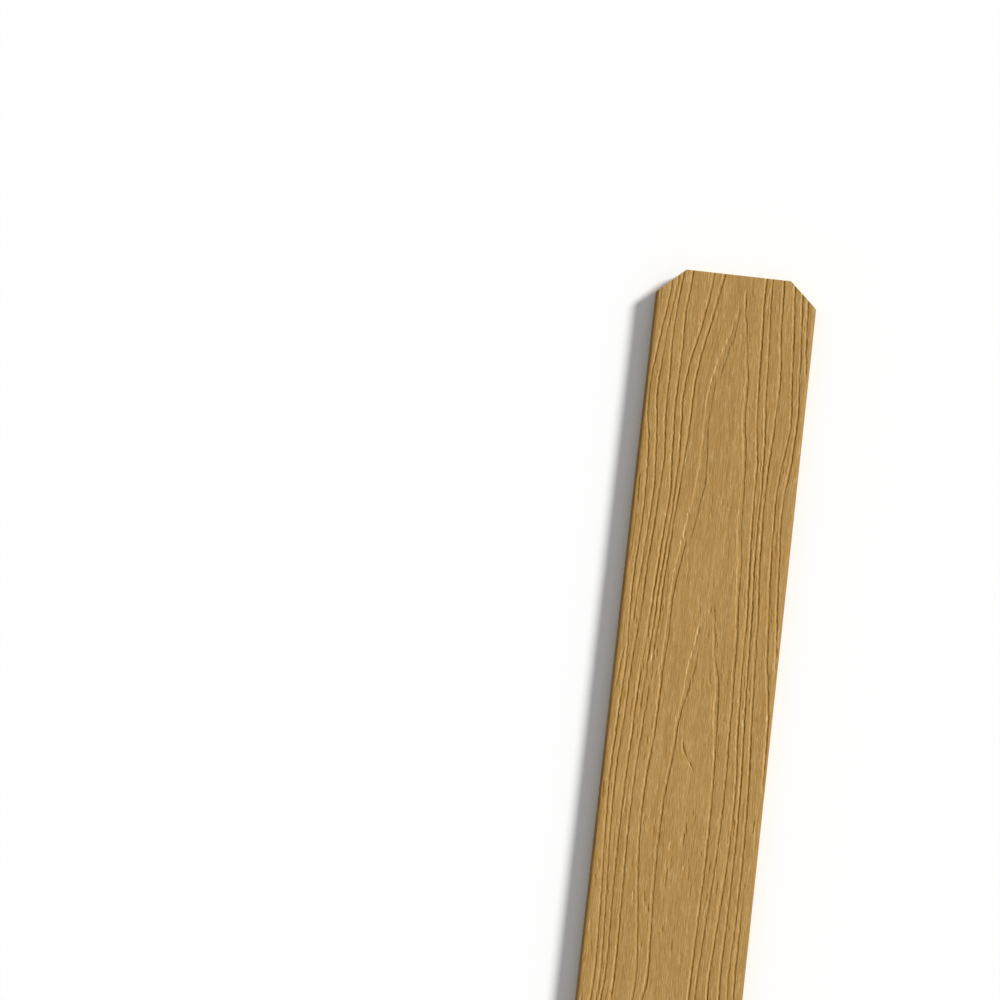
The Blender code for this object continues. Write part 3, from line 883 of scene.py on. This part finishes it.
def composite():
    nodes = Nodes("composite")
    streaks, fibres, dashes = nodes.noise(**STREAKS), nodes.noise(**FINE_FIBRES), nodes.noise(**DASHES)
    specks = nodes.noise(**SPECKS)
    tone = nodes.weighed((nodes.noise(**LONG_STREAKS), streaks, fibres), TONE_SHARES)
    colour = nodes.mix(nodes.spread(tone, *LIGHT_BY_TONE), DARK_STREAK, LIGHT_STREAK)
    colour = nodes.mix(nodes.spread(dashes, *PALE_DASHES), colour, PALE_GRAIN_AND_PAINTED_HIGHLIGHT)
    colour = nodes.mix(nodes.spread(dashes, *DARK_DASHES), colour, DARK_GRAIN_AND_PAINTED_SHADE)
    colour = nodes.mix(nodes.spread(specks, *PALE_SPECKS), colour, PALE_SPECK)
    colour = nodes.mix(nodes.spread(specks, *DARK_SPECKS), colour, DARK_SPECK)
    # the x of the face's normal: how far it turns towards the key light, or away from it
    lean = nodes.add("ShaderNodeSeparateXYZ", Vector=nodes.coordinates.outputs["Normal"]).outputs["X"]
    # painted shade on the walls that face away from the key light
    painted_shade_share = nodes.spread(nodes.of_vertices("painted_shade"), *PAINTED_SHADE_BY_DEPTH)
    painted_shade_share = nodes.math("MULTIPLY", painted_shade_share, nodes.spread(lean, *SHADE_AWAY_FROM_LIGHT))
    colour = nodes.mix(painted_shade_share, colour, DARK_GRAIN_AND_PAINTED_SHADE)
    # a painted highlight on the walls that face the key light
    highlight_share = nodes.spread(nodes.of_vertices("painted_highlight"), *PAINTED_HIGHLIGHT_BY_DEPTH)
    highlight_share = nodes.math("MULTIPLY", highlight_share, nodes.spread(lean, *HIGHLIGHT_TOWARD_LIGHT))
    colour = nodes.mix(highlight_share, colour, PALE_GRAIN_AND_PAINTED_HIGHLIGHT)
    x = nodes.add("ShaderNodeSeparateXYZ", Vector=nodes.place).outputs["X"]
    # painted shade along both eased edges, reaching further in at the left
    side_shade = nodes.spread(nodes.math("ABSOLUTE", nodes.math("ADD", x, -SIDE_SHADE_SHIFT)), *SIDE_SHADE_BAND)
    side_shade = nodes.math("MULTIPLY", side_shade, nodes.spread(tone, *SIDE_SHADE_BY_TONE))
    colour = nodes.mix(side_shade, colour, SIDE_SHADE)
    nodes.join(colour, nodes.shader.inputs["Base Color"])
    nodes.join(nodes.spread(fibres, *ROUGHNESS), nodes.shader.inputs["Roughness"])
    nodes.join(nodes.spread(painted_shade_share, *SPECULAR), nodes.shader.inputs["Specular IOR Level"])
    nodes.bump(nodes.weighed((fibres, streaks, dashes), BUMP_SHARES), BUMP)
    return nodes.material


def sawn_composite():
    nodes = Nodes("sawn_composite")
    grains, specks = nodes.noise(**SAWN_GRAINS), nodes.noise(**SAWN_SPECKS)
    colour = nodes.mix(nodes.spread(grains, *SAWN_BY_GRAINS), SAWN_DARK, SAWN_LIGHT)
    colour = nodes.mix(nodes.spread(specks, *SAWN_PALE_SPECKS), colour, PALE_SPECK)
    colour = nodes.mix(nodes.spread(specks, *SAWN_DARK_SPECKS), colour, DARK_SPECK)
    nodes.join(colour, nodes.shader.inputs["Base Color"])
    nodes.join(nodes.spread(grains, *SAWN_ROUGHNESS), nodes.shader.inputs["Roughness"])
    nodes.shader.inputs["Specular IOR Level"].default_value = SAWN_SPECULAR
    nodes.bump(nodes.weighed((nodes.noise(**SAW_SCORES), grains), SAWN_BUMP_SHARES), SAWN_BUMP)
    return nodes.material


def camera():
    lens = bpy.data.cameras.new("camera")
    lens.lens = LENS
    lens.sensor_width = SENSOR
    view = in_scene("camera", lens)
    view.location = Vector(CAMERA_PLACE) * MM
    view.rotation_euler = Euler([math.radians(turn) for turn in CAMERA_TURN])
    bpy.context.scene.camera = view


def lights():
    sun = bpy.data.lights.new("key", "SUN")
    sun.energy = SUN
    sun.angle = math.radians(SUN_WIDTH)
    key = in_scene("key", sun)
    key.rotation_euler = Vector(SUN_FROM).to_track_quat("Z", "Y").to_euler()
    world = bpy.data.worlds.new("world")
    bpy.context.scene.world = world
    world.use_nodes = True
    nodes, links = world.node_tree.nodes, world.node_tree.links
    background = nodes["Background"]
    path = nodes.new("ShaderNodeLightPath")
    strength = nodes.new("ShaderNodeMapRange")
    strength.inputs["To Min"].default_value = SKY
    strength.inputs["To Max"].default_value = SKY_SEEN
    links.new(path.outputs["Is Camera Ray"], strength.inputs["Value"])
    links.new(strength.outputs["Result"], background.inputs["Strength"])
    background.inputs["Color"].default_value = (1, 1, 1, 1)


def floor():
    mesh = bpy.data.meshes.new("floor")
    corners = [(across * FLOOR_HALF, along * FLOOR_HALF, 0) for across, along in FLOOR_CORNERS]
    mesh.from_pydata(corners, [], [(0, 1, 2, 3)])
    nodes = Nodes("floor")
    path = nodes.add("ShaderNodeLightPath")
    white = nodes.mix(path.outputs["Is Camera Ray"], FLOOR_BOUNCE, FLOOR_SEEN)
    nodes.join(white, nodes.shader.inputs["Base Color"])
    nodes.shader.inputs["Roughness"].default_value = 1.0
    nodes.shader.inputs["Specular IOR Level"].default_value = 0.0
    mesh.materials.append(nodes.material)
    ground = in_scene("floor", mesh)
    ground.location.z = FLOOR_GAP * MM


board = embossed_board()
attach(board, "root")
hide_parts("fence_board")
floor()
lights()
camera()
bpy.context.scene.view_settings.view_transform = "Standard"
